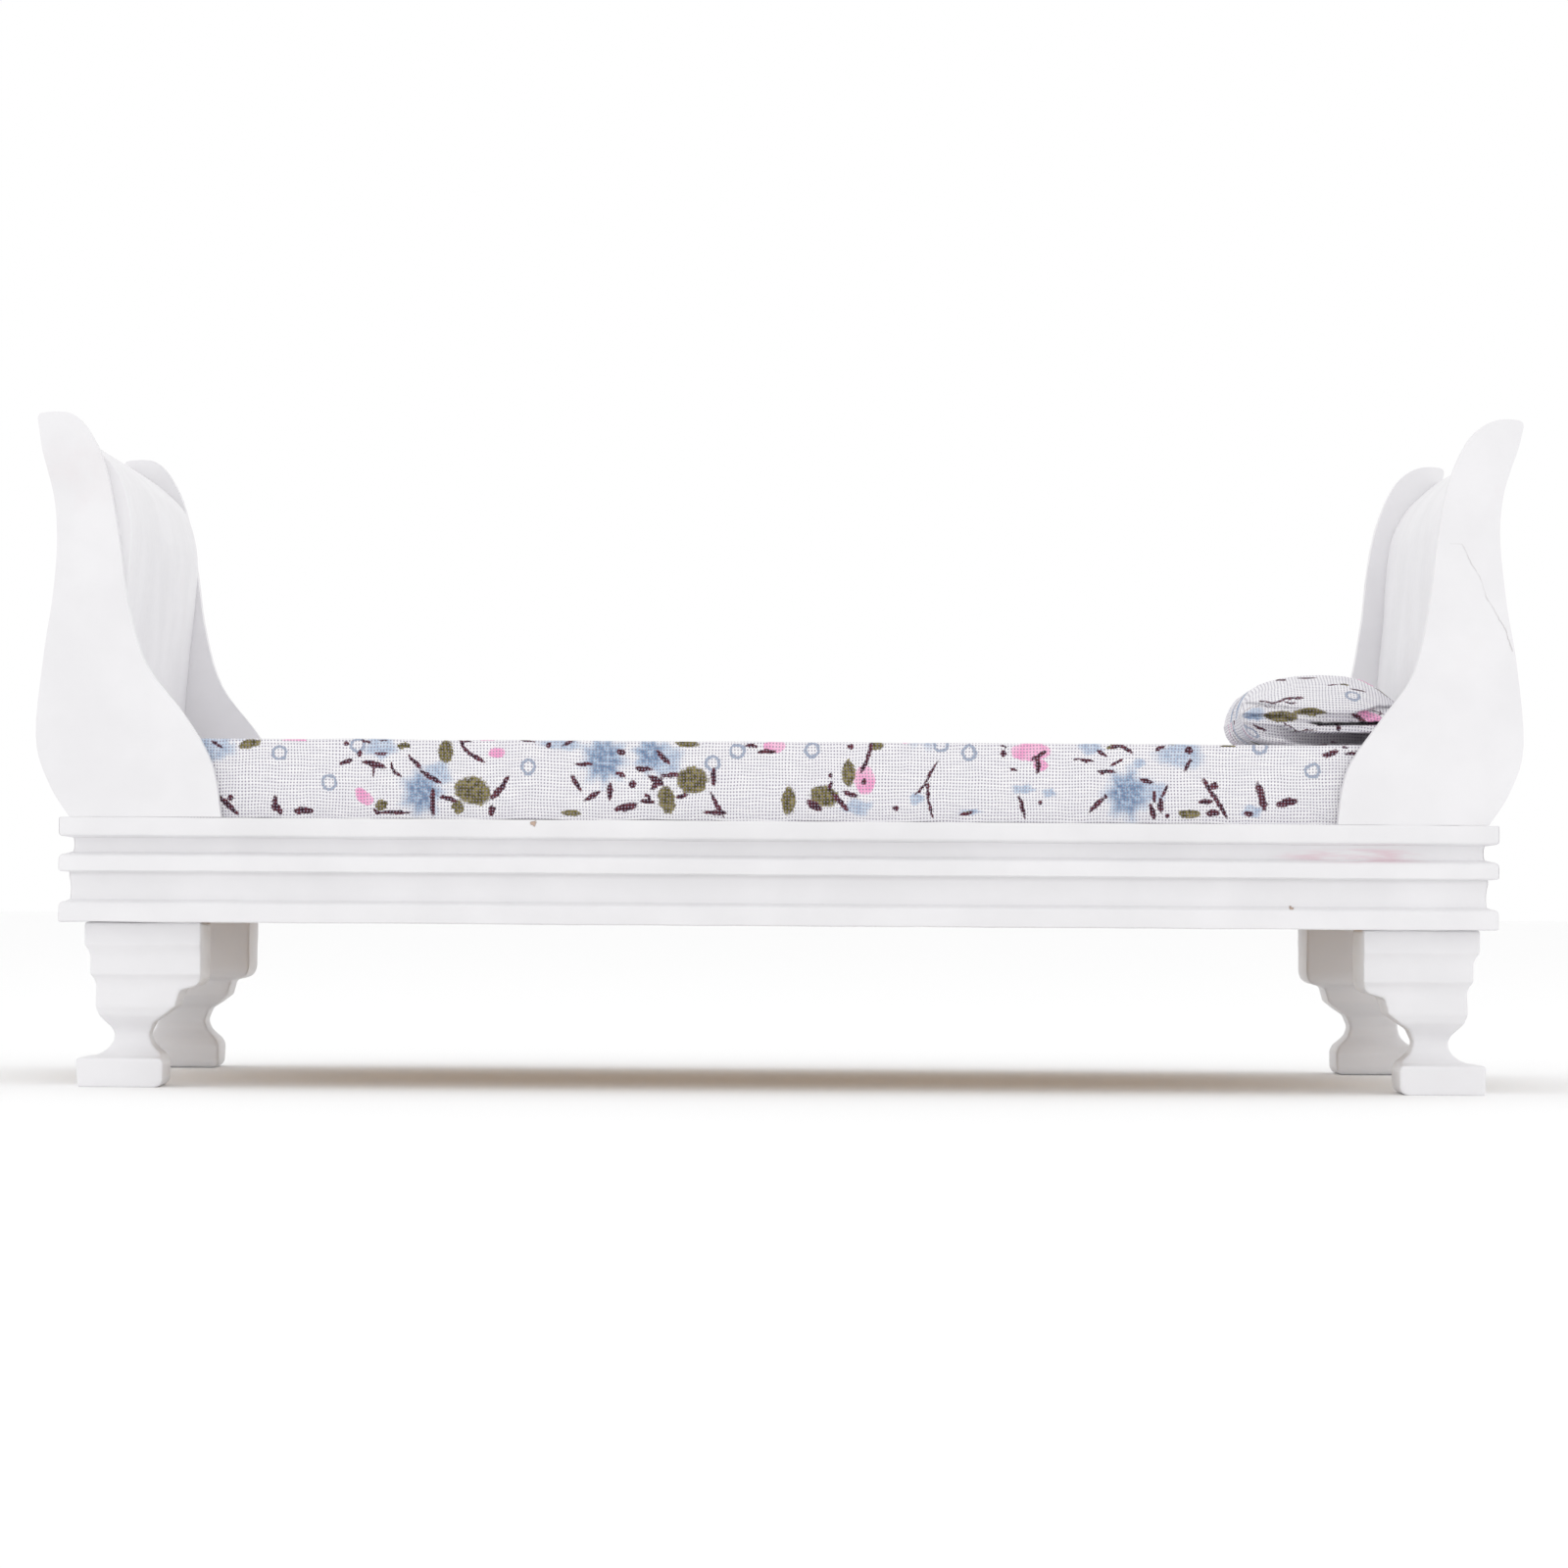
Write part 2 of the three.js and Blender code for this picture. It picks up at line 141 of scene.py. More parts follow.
class Graph:
    """Adds shader nodes with short calls. Every value may be a socket or a constant."""

    def __init__(self, name):
        self.material = bpy.data.materials.new(name)
        self.material.use_nodes = True
        self.tree = self.material.node_tree
        self.shader = self.tree.nodes["Principled BSDF"]

    def put(self, socket, value):
        if isinstance(value, bpy.types.NodeSocket):
            self.tree.links.new(value, socket)
        elif value is not None:
            socket.default_value = value

    def math(self, operation, a, b=None, c=None):
        node = self.tree.nodes.new("ShaderNodeMath")
        node.operation = operation
        for socket, value in zip(node.inputs, (a, b, c)):
            self.put(socket, value)
        return node.outputs[0]

    def vector(self, operation, a, b=None, c=None):
        node = self.tree.nodes.new("ShaderNodeVectorMath")
        node.operation = operation
        for socket, value in zip(node.inputs, (a, b, c)):
            self.put(socket, value)
        number = operation in ("LENGTH", "DISTANCE", "DOT_PRODUCT")
        return node.outputs["Value" if number else "Vector"]

    def scaled(self, vector, factor):
        node = self.tree.nodes.new("ShaderNodeVectorMath")
        node.operation = "SCALE"
        self.put(node.inputs[0], vector)
        self.put(node.inputs["Scale"], factor)
        return node.outputs["Vector"]

    def split(self, vector):
        node = self.tree.nodes.new("ShaderNodeSeparateXYZ")
        self.put(node.inputs[0], vector)
        return node.outputs

    def join(self, x, y, z=0.0):
        node = self.tree.nodes.new("ShaderNodeCombineXYZ")
        for socket, value in zip(node.inputs, (x, y, z)):
            self.put(socket, value)
        return node.outputs[0]

    def turned(self, vector, angle):
        """vector turned about Z by angle in degrees."""
        node = self.tree.nodes.new("ShaderNodeMapping")
        self.put(node.inputs["Vector"], vector)
        node.inputs["Rotation"].default_value = (0, 0, math.radians(angle))
        return node.outputs[0]

    def noise(self, vector, scale, detail=2.0, roughness=0.5, colour=False):
        node = self.tree.nodes.new("ShaderNodeTexNoise")
        self.put(node.inputs["Vector"], vector)
        node.inputs["Scale"].default_value = scale
        node.inputs["Detail"].default_value = detail
        node.inputs["Roughness"].default_value = roughness
        return node.outputs["Color" if colour else "Fac"]

    def between(self, value, low, high, at_low=0.0, at_high=1.0):
        """value eased from at_low where it is low to at_high where it is high."""
        node = self.tree.nodes.new("ShaderNodeMapRange")
        node.interpolation_type = "SMOOTHSTEP"
        limits = {"From Min": low, "From Max": high, "To Min": at_low, "To Max": at_high}
        for name, number in limits.items():
            node.inputs[name].default_value = number
        self.put(node.inputs["Value"], value)
        return node.outputs["Result"]

    def mix(self, factor, a, b, blend="MIX"):
        node = self.tree.nodes.new("ShaderNodeMix")
        node.data_type = "RGBA"
        node.blend_type = blend
        self.put(node.inputs["Factor"], factor)
        self.put(node.inputs[6], a)
        self.put(node.inputs[7], b)
        return node.outputs[2]

    def object_place(self):
        return self.tree.nodes.new("ShaderNodeTexCoord").outputs["Object"]

    def layer(self, name):
        """A UV layer of the mesh as a vector."""
        node = self.tree.nodes.new("ShaderNodeUVMap")
        node.uv_map = name
        return node.outputs["UV"]

    def number(self, name):
        """A number kept on the mesh's points, 0 where there is none."""
        node = self.tree.nodes.new("ShaderNodeAttribute")
        node.attribute_name = name
        return node.outputs["Fac"]

    def bump(self, height, distance, strength=1.0, normal=None):
        node = self.tree.nodes.new("ShaderNodeBump")
        node.inputs["Strength"].default_value = strength
        node.inputs["Distance"].default_value = distance
        self.put(node.inputs["Height"], height)
        self.put(node.inputs["Normal"], normal)
        return node.outputs[0]


FAR = 99.0  # where a search for the nearest flaw or motif starts


# ---- painted wood ----


# A hairline crack in the head end's front board, as points along the bed and up it.
CRACK = [
    (80.9, 66.7), (82.4, 66.7), (83.5, 64.4), (84.5, 62.9), (85.3, 60.3), (87.7, 56.4), (88.5, 53.8),
]
# Small chips that show the wood: (along the bed, height, radius) on the front faces.
CHIPS = [
    (-29.7, 32.2, 0.55), (71.3, 12.1, 0.5), (73.8, 12.0, 0.3), (80.9, 4.9, 0.35), (62.0, 22.6, 0.4),
]
PINK_RUB = (70.5, 28.9)  # the middle of a faint pink rub in the deep cove: along the bed, height
PINK_RUB_HALF_SIZES = (12.0, 1.1)
FRONT = -40.0  # the flaws show only on faces in front of this


def nearest_crack(g, place):
    """The distance to the crack in millimetres, in the plane of the board."""
    nearest = FAR
    for start, end in zip(CRACK, CRACK[1:]):
        length = math.dist(start, end)
        along = ((end[0] - start[0]) / length, (end[1] - start[1]) / length)
        offset = g.vector("SUBTRACT", place, (*start, 0))
        reached = g.math("MINIMUM", g.vector("DOT_PRODUCT", offset, (*along, 0)), length)
        reached = g.math("MAXIMUM", reached, 0.0)
        foot = g.vector("SUBTRACT", offset, g.scaled((*along, 0), reached))
        nearest = g.math("MINIMUM", nearest, g.vector("LENGTH", foot))
    return nearest


def white_paint():
    """Satin white paint, brushed along the wood, settled in the hollows, with a few flaws."""
    g = Graph("white_paint")
    place = g.object_place()
    x, y, z = g.split(g.scaled(place, 1 / MM))
    patches = g.noise(place, 90.0, 3.0)
    fine = g.noise(place, 900.0, 3.0, 0.6)
    lumps = g.noise(place, 260.0, 2.0, 0.5)
    along = g.noise(g.vector("MULTIPLY", place, (120.0, 900.0, 900.0)), 1.0, 3.0, 0.55)
    colour = g.mix(g.between(patches, 0.35, 0.7), linear(231, 230, 232), linear(236, 235, 237))
    pinkish = g.between(g.noise(place, 60.0, 4.0, 0.6), 0.62, 0.8, 0.0, 0.4)
    colour = g.mix(pinkish, colour, linear(229, 222, 224))

    in_front = g.between(y, FRONT, FRONT - 0.5)
    off_rub = g.vector("LENGTH", local_place(g, g.join(x, z), PINK_RUB, PINK_RUB_HALF_SIZES))
    rub = g.math("MULTIPLY", g.between(off_rub, 1.0, 0.5), g.between(along, 0.4, 0.6))
    rub = g.math("MULTIPLY", rub, in_front)
    colour = g.mix(g.math("MULTIPLY", rub, 0.6), colour, linear(222, 190, 200))

    flat_place = g.vector("ADD", g.join(x, z), g.scaled(g.join(fine, lumps), 0.5))
    flat_place = g.vector("SUBTRACT", flat_place, (0.25, 0.25, 0.0))
    crack = g.between(nearest_crack(g, flat_place), 0.09, 0.03)
    crack = g.math("MULTIPLY", crack, in_front)
    crack = g.math("MULTIPLY", crack, g.between(lumps, 0.4, 0.55, 0.25, 1.0))
    chips = FAR
    for chip_x, chip_z, radius in CHIPS:
        far = g.vector("DISTANCE", flat_place, (chip_x, chip_z, 0))
        chips = g.math("MINIMUM", chips, g.math("DIVIDE", far, radius))
    ragged = g.math("MULTIPLY_ADD", g.noise(place, 1800.0, 3.0, 0.7), 1.6, chips)
    chips = g.math("MULTIPLY", g.between(ragged, 1.5, 1.2), in_front)
    colour = g.mix(g.math("MULTIPLY", crack, 0.33), colour, linear(150, 140, 138))
    colour = g.mix(g.math("MULTIPLY", chips, 0.8), colour, linear(176, 140, 112))

    g.put(g.shader.inputs["Base Color"], colour)
    g.put(g.shader.inputs["Roughness"], g.between(fine, 0.3, 0.7, 0.34, 0.5))
    g.shader.inputs["Specular IOR Level"].default_value = 0.4
    brushed = g.bump(along, 0.012 * MM, 0.8)
    uneven = g.bump(lumps, 0.018 * MM, 0.8, brushed)
    flaws = g.math("MAXIMUM", g.math("MULTIPLY", crack, 0.3), chips)
    sunk = g.bump(flaws, -0.12 * MM, 1.0, uneven)
    g.put(g.shader.inputs["Normal"], g.bump(fine, 0.02 * MM, 0.6, sunk))
    return g.material


def bare_wood(name, light, dark, across):
    """Pale wood with long grain along X or Y; across is the grain's frequency vector."""
    g = Graph(name)
    place = g.object_place()
    grain = g.noise(g.vector("MULTIPLY", place, across), 1.0, 5.0, 0.6)
    pores = g.noise(g.vector("MULTIPLY", place, tuple(3 * v for v in across)), 1.0, 2.0, 0.7)
    colour = g.mix(g.between(grain, 0.35, 0.65), light, dark)
    colour = g.mix(g.between(pores, 0.62, 0.72, 0.0, 0.5), colour, dark)
    g.put(g.shader.inputs["Base Color"], colour)
    g.put(g.shader.inputs["Roughness"], g.between(grain, 0.3, 0.7, 0.6, 0.8))
    g.put(g.shader.inputs["Normal"], g.bump(pores, 0.05 * MM, 0.5))
    return g.material


def plain_stuff(name, light, dark, grain_size, roughness):
    """Card, foam and other matt stuff seen only when the bed is taken apart."""
    g = Graph(name)
    place = g.object_place()
    grain = g.noise(place, 1 / grain_size, 4.0, 0.65)
    g.put(g.shader.inputs["Base Color"], g.mix(g.between(grain, 0.35, 0.65), light, dark))
    g.put(g.shader.inputs["Roughness"], g.between(grain, 0.3, 0.7, roughness, roughness + 0.1))
    g.put(g.shader.inputs["Normal"], g.bump(grain, 0.08 * MM, 0.6))
    return g.material


def dress_hidden_parts():
    """Materials for the CAD nodes that keep their shape: the underside and the fillings."""
    along_x = (60.0, 900.0, 900.0)
    along_y = (900.0, 60.0, 900.0)
    upright = (900.0, 900.0, 60.0)
    light, dark = linear(222, 190, 144), linear(176, 132, 84)
    materials = {
        "bed_board": bare_wood("plywood_board", linear(214, 186, 145), linear(178, 142, 98), along_x),
        "front_cleat": bare_wood("wood_along_bed", light, dark, along_x),
        "head_cleat": bare_wood("wood_across_bed", light, dark, along_y),
        "block": bare_wood("wood_upright", light, dark, upright),
        "mattress_card": plain_stuff(
            "grey_card", linear(172, 166, 158), linear(142, 137, 130), 0.6 * MM, 0.85
        ),
        "mattress_core": plain_stuff(
            "white_wadding", linear(240, 238, 232), linear(214, 211, 204), 0.9 * MM, 0.9
        ),
    }
    materials["back_cleat"] = materials["front_cleat"]
    materials["foot_cleat"] = materials["head_cleat"]
    for name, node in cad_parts.items():
        material = materials.get(name)
        if name.endswith("_corner_block") or name.endswith("_dowel"):
            material = materials["block"]
        if material:
            node.data.materials.clear()
            node.data.materials.append(material)


# ---- printed cotton ----

# The print, in millimetres of cloth: along the bed from its middle, and up the front of the
# mattress from its bottom edge. Each motif is (along, up, half length, half width, angle).
TWIGS = [
    (-68.2, 8.8, 0.73, 0.16, 150), (-66.9, 1.5, 1.51, 0.29, 135), (-66.6, 2.3, 0.33, 0.33, 0),
    (-61.2, 1.7, 0.86, 0.33, 90), (-60.8, 1.0, 0.75, 0.33, 120), (-57.8, 0.8, 1.06, 0.33, 0),
    (-52.6, 9.0, 0.27, 0.27, 0), (-52.6, 6.8, 0.76, 0.23, 15), (-51.0, 7.8, 0.3, 0.3, 0),
    (-50.3, 9.2, 0.58, 0.13, 165), (-49.3, 5.7, 0.66, 0.16, 90), (-49.3, 6.5, 1.31, 0.33, 165),
    (-48.8, 0.8, 0.54, 0.2, 150), (-48.4, 7.8, 0.61, 0.16, 0), (-48.2, 9.4, 0.4, 0.13, 0),
    (-47.0, 6.0, 0.65, 0.16, 105), (-46.7, 0.7, 1.92, 0.16, 0), (-46.4, 5.3, 0.58, 0.16, 150),
    (-44.3, 6.8, 1.06, 0.23, 135), (-42.4, 5.0, 1.33, 0.26, 150), (-42.1, 2.0, 1.43, 0.29, 90),
    (-40.2, 2.4, 0.93, 0.26, 165), (-38.5, 9.1, 0.71, 0.23, 120), (-38.1, 9.5, 0.73, 0.16, 0),
    (-37.9, 8.2, 0.77, 0.23, 135), (-36.7, 7.4, 0.99, 0.2, 150), (-34.9, 1.0, 0.64, 0.33, 90),
    (-34.2, 3.3, 1.06, 0.33, 45), (-33.4, 4.3, 0.94, 0.23, 60), (-30.7, 9.5, 0.82, 0.16, 165),
    (-28.1, 9.0, 0.3, 0.3, 0), (-25.6, 9.3, 0.83, 0.2, 30), (-24.7, 4.4, 1.0, 0.23, 120),
    (-23.8, 6.7, 0.91, 0.2, 0), (-22.7, 2.8, 1.01, 0.29, 30), (-20.6, 3.3, 0.91, 0.33, 90),
    (-19.4, 5.5, 0.57, 0.23, 165), (-19.3, 8.2, 0.53, 0.33, 150), (-18.7, 1.5, 1.22, 0.42, 15),
    (-17.9, 4.3, 0.39, 0.39, 0), (-16.6, 6.2, 0.91, 0.29, 0), (-16.0, 2.2, 0.79, 0.29, 0),
    (-16.0, 2.8, 0.47, 0.23, 135), (-15.0, 4.4, 0.88, 0.33, 45), (-15.0, 4.8, 1.0, 0.33, 150),
    (-14.2, 7.6, 1.01, 0.26, 135), (-13.3, 5.4, 0.96, 0.26, 0), (-11.8, 2.9, 0.64, 0.26, 15),
    (-8.0, 5.3, 0.97, 0.33, 90), (-7.8, 0.9, 1.21, 0.26, 0), (-7.6, 1.9, 1.48, 0.23, 120),
    (-3.5, 9.0, 0.76, 0.2, 0), (-1.6, 8.3, 1.03, 0.26, 0), (4.2, 1.8, 0.94, 0.42, 150),
    (6.1, 4.2, 0.61, 0.2, 75), (6.1, 5.5, 0.27, 0.27, 0), (7.3, 2.3, 1.29, 0.29, 135),
    (8.6, 9.1, 0.33, 0.33, 0), (8.6, 3.2, 0.89, 0.23, 165), (10.2, 4.7, 0.33, 0.33, 0),
    (10.3, 6.8, 0.95, 0.23, 60), (10.9, 8.5, 1.25, 0.23, 75), (14.1, 1.6, 0.33, 0.33, 0),
    (17.2, 4.0, 1.03, 0.16, 45), (18.0, 3.5, 1.18, 0.16, 90), (18.3, 1.6, 1.02, 0.16, 105),
    (18.3, 6.0, 1.52, 0.16, 60), (22.7, 1.0, 0.76, 0.2, 15), (27.1, 9.2, 0.42, 0.13, 165),
    (27.1, 8.3, 0.39, 0.39, 0), (28.4, 6.4, 0.48, 0.13, 165), (29.4, 1.8, 1.25, 0.23, 105),
    (31.3, 6.9, 0.88, 0.26, 90), (31.4, 8.1, 0.92, 0.23, 30), (31.6, 2.3, 0.24, 0.24, 0),
    (36.0, 7.7, 0.41, 0.13, 0), (37.3, 7.5, 0.71, 0.2, 0), (38.4, 2.1, 1.13, 0.26, 45),
    (39.0, 8.4, 0.7, 0.2, 150), (39.5, 3.1, 0.24, 0.24, 0), (39.6, 6.2, 1.03, 0.23, 0),
    (40.9, 7.3, 0.71, 0.2, 30), (40.9, 9.2, 0.75, 0.2, 0), (42.1, 8.9, 0.78, 0.23, 150),
    (44.5, 5.1, 0.79, 0.23, 165), (45.2, 1.3, 0.85, 0.29, 105), (45.4, 3.1, 0.63, 0.23, 90),
    (46.1, 9.0, 0.53, 0.23, 30), (46.2, 2.1, 0.76, 0.29, 90), (46.7, 3.8, 0.73, 0.2, 60),
    (47.0, 0.9, 0.24, 0.24, 0), (49.5, 7.0, 0.74, 0.23, 60), (49.6, 8.8, 0.42, 0.42, 0),
    (51.7, 2.6, 0.73, 0.26, 0), (52.2, 4.0, 1.42, 0.23, 120), (52.5, 1.2, 0.71, 0.33, 0),
    (52.7, 4.5, 0.39, 0.39, 0), (53.5, 2.0, 1.36, 0.23, 120), (56.9, 1.2, 0.59, 0.26, 0),
    (58.4, 3.3, 1.54, 0.42, 105), (61.5, 2.6, 1.18, 0.42, 15), (66.7, 8.5, 0.92, 0.29, 15),
    (68.5, 9.3, 0.34, 0.13, 165), (69.5, 8.6, 0.9, 0.2, 0),
]
LEAVES = [
    (-64.4, 8.9, 1.43, 0.53, 15), (-48.2, 1.6, 0.74, 0.68, 45), (-45.7, 8.8, 0.83, 0.36, 0),
    (-40.5, 8.1, 1.43, 0.92, 90), (-39.0, 1.4, 0.89, 0.74, 90), (-37.2, 3.4, 2.2, 1.66, 165),
    (-25.3, 0.7, 1.19, 0.36, 0), (-13.7, 2.4, 1.72, 1.04, 105), (-11.3, 9.3, 1.34, 0.51, 0),
    (-10.6, 4.8, 1.84, 1.69, 0), (1.1, 2.4, 1.69, 0.83, 90), (5.4, 3.0, 1.84, 1.19, 165),
    (8.3, 5.8, 1.63, 0.86, 90), (11.8, 9.2, 0.89, 0.62, 0), (22.8, 1.1, 0.65, 0.27, 0),
    (40.3, 9.2, 0.74, 0.24, 0), (49.7, 1.1, 1.25, 0.56, 0), (54.3, 9.5, 0.95, 0.15, 0),
]
BUDS = [
    (-58.9, 9.5, 1.49, 0.21, 0), (-50.4, 2.6, 1.37, 0.77, 135), (-35.5, 9.6, 0.89, 0.18, 0),
    (-34.4, 8.0, 0.98, 0.68, 0), (-0.7, 9.0, 1.37, 0.8, 0), (10.3, 5.0, 1.78, 1.28, 90),
    (15.4, 9.8, 0.74, 0.15, 0), (30.4, 8.6, 2.44, 1.19, 0), (31.6, 6.9, 0.95, 0.71, 0),
]
DEEP_FLOWERS = [
    (-43.4, 3.1, 2.23, 2.53), (-21.4, 7.3, 2.38, 2.67), (-15.8, 7.9, 1.78, 2.08),
    (42.1, 3.5, 2.38, 2.82),
]
PALE_FLOWERS = [
    (-68.7, 8.3, 2.53, 1.63), (-48.5, 8.6, 1.93, 1.49), (-41.5, 5.4, 1.78, 1.63),
    (-26.5, 9.2, 2.67, 0.89), (-13.7, 7.3, 1.93, 2.08), (9.4, 1.7, 1.78, 1.04), (16.6, 2.8, 0.89, 0.77),
    (23.1, 1.2, 1.34, 0.45), (37.7, 9.1, 1.54, 0.95), (48.7, 8.3, 2.97, 1.84), (44.8, 3.8, 2.23, 1.49),
    (57.3, 1.5, 1.34, 0.77), (43.6, 7.2, 0.74, 0.59), (29.6, 4.0, 1.43, 0.59), (32.7, 3.6, 0.89, 0.56),
]
RINGS = [
    (-60.7, 7.8), (-54.7, 4.3), (-30.5, 6.3), (-51.2, 8.8), (-8.2, 6.9), (-5.2, 8.4), (3.9, 8.6),
    (19.5, 9.4), (22.9, 8.4), (58.2, 9.3), (64.6, 6.5),
]

# Motifs on the end of the pillow, in the upper half of the lowest row.
PILLOW_TWIGS = [
    (60.2, 15.1, 0.97, 0.17, 150), (61.6, 14.9, 0.92, 0.17, 15), (63.4, 15.3, 1.21, 0.23, 0),
    (63.0, 14.5, 0.75, 0.12, 165), (57.5, 14.6, 0.59, 0.07, 0), (59.5, 14.4, 1.71, 0.04, 165),
    (-51.6, -2.6, 0.8, 0.16, 0), (-54.6, -1.8, 0.69, 0.14, 15), (63.0, 11.2, 0.91, 0.08, 150),
    (64.9, 10.7, 1.19, 0.07, 0), (66.8, 11.4, 0.55, 0.12, 0), (68.9, 11.2, 0.48, 0.22, 90),
    (59.3, 10.7, 0.85, 0.19, 165), (71.4, 12.5, 0.8, 0.26, 150), (74.0, 13.9, 0.98, 0.09, 0),
    (74.1, 13.8, 0.41, 0.12, 75), (74.6, 12.8, 0.87, 0.22, 45), (55.6, 11.6, 0.23, 0.09, 105),
    (55.7, 10.7, 0.2, 0.09, 120), (56.6, 10.1, 0.23, 0.09, 135),
]
PILLOW_LEAVES = [
    (61.8, 12.5, 2.12, 0.73, 0), (65.3, 13.0, 1.97, 0.48, 0), (-53.2, -1.6, 0.61, 0.3, 0),
]
PILLOW_BUDS = [
    (72.8, 12.9, 1.63, 0.73, 0), (56.0, 13.4, 1.06, 0.18, 90),
]
PILLOW_DEEP_FLOWERS = [
    (58.4, 12.4, 1.44, 0.61),
]
PILLOW_PALE_FLOWERS = [
    (58.4, 13.5, 1.59, 0.76),
]
PILLOW_RINGS = [
    (70.7, 15.8),
]
PILLOW_END_CLOTH = (53.0, 78.0)  # the stretch of the upper half kept for these
PILLOW_UP = 7.45  # cloth height at the bottom of the pillow's end
PILLOW_ALONG = 67.65  # and cloth place at the pillow's middle

LEAN = 15  # degrees between the directions that motifs lie in
REPEAT_ALONG, REPEAT_UP = 170.0, 20.0
REPEAT_BOTTOM = -3.0
ROW_SHIFT = 47.0  # how far each row of the print is moved along from the one below
SECOND_BAND = (61.0, 8.8)  # the upper half of a row repeats the lower half's inner motifs
INNER_MOTIFS = (2.3, 7.2)  # the heights of the motifs it repeats
SEAM_MARGIN = 3.0  # kept clear of them at each end of the repeat
THREAD_PITCH = 0.39
RAGGEDNESS = 0.75  # how far the ink's edges stray
PETAL_DEPTH = 0.16  # how deep a flower's outline is cut between its petals
RING_RADIUS, RING_HALF_WIDTH = 0.8, 0.2


def whole_row(lower, pillow_end):
    """One row's motifs: the lower half, its inner motifs again above, and the pillow's end."""
    row = lower + pillow_end
    left, right = PILLOW_END_CLOTH
    half = REPEAT_ALONG / 2
    for along, up, *rest in lower:
        moved = (along + SECOND_BAND[0] + half) % REPEAT_ALONG - half
        clear = not left < moved < right and abs(moved) < half - SEAM_MARGIN
        if INNER_MOTIFS[0] < up < INNER_MOTIFS[1] and clear:
            row.append((moved, up + SECOND_BAND[1], *rest))
    return row


def print_place(g, cloth):
    """The place within one repeat of the print, a little ragged along the threads."""
    x, y, _ = g.split(cloth)
    row = g.math("FLOOR", g.math("DIVIDE", g.math("SUBTRACT", y, REPEAT_BOTTOM), REPEAT_UP))
    half = REPEAT_ALONG / 2
    shifted = g.math("MULTIPLY_ADD", row, ROW_SHIFT, x)
    along = g.math("WRAP", shifted, half, -half)
    up = g.math("MULTIPLY_ADD", row, -REPEAT_UP, y)
    place = g.join(along, up)
    threads = g.vector("SNAP", place, (THREAD_PITCH / 2,) * 3)
    place = g.vector("ADD", g.scaled(place, 0.5), g.scaled(threads, 0.5))
    ragged = g.vector("SUBTRACT", g.noise(cloth, 1.1, 3.0, 0.7, colour=True), (0.5, 0.5, 0.5))
    return g.vector("MULTIPLY_ADD", ragged, (RAGGEDNESS, RAGGEDNESS, 0.0), place)


def local_place(g, place, centre, half_sizes):
    """place measured from a motif's centre, in units of its half sizes."""
    factors = (*(1 / size for size in half_sizes), 0)
    offsets = (*(-c / size for c, size in zip(centre, half_sizes)), 0)
    return g.vector("MULTIPLY_ADD", place, factors, offsets)


def nearest_oval(g, turned, motifs):
    """The distance to the nearest of some ovals, 1 on its outline."""
    nearest = FAR
    for along, up, half_length, half_width, angle in motifs:
        lean = math.radians(angle)
        centre = (
            along * math.cos(lean) + up * math.sin(lean),
            up * math.cos(lean) - along * math.sin(lean),
        )
        place = local_place(g, turned[angle], centre, (half_length, half_width))
        nearest = g.math("MINIMUM", nearest, g.vector("LENGTH", place))
    return nearest


def nearest_flower(g, place, flowers, petals):
    """The distance to the nearest of some ragged flowers, 1 on the tips of their petals."""
    nearest = FAR
    for number, (along, up, half_length, half_width) in enumerate(flowers):
        local = local_place(g, place, (along, up), (half_length, half_width))
        rightward = g.vector("DOT_PRODUCT", local, (1, 0, 0))
        upward = g.vector("DOT_PRODUCT", local, (0, 1, 0))
        angle = g.math("ARCTAN2", upward, rightward)
        wave = g.math("COSINE", g.math("MULTIPLY_ADD", angle, petals[number % len(petals)], number))
        reach = g.math("MULTIPLY_ADD", wave, -PETAL_DEPTH, 1 + PETAL_DEPTH)
        nearest = g.math("MINIMUM", nearest, g.math("MULTIPLY", reach, g.vector("LENGTH", local)))
    return nearest


def nearest_ring(g, place, centres):
    """The distance to the nearest of some equal rings, 1 on their edges."""
    nearest = FAR
    for centre in centres:
        nearest = g.math("MINIMUM", nearest, g.vector("DISTANCE", place, (*centre, 0)))
    off_ring = g.math("ABSOLUTE", g.math("SUBTRACT", nearest, RING_RADIUS))
    return g.math("DIVIDE", off_ring, RING_HALF_WIDTH)


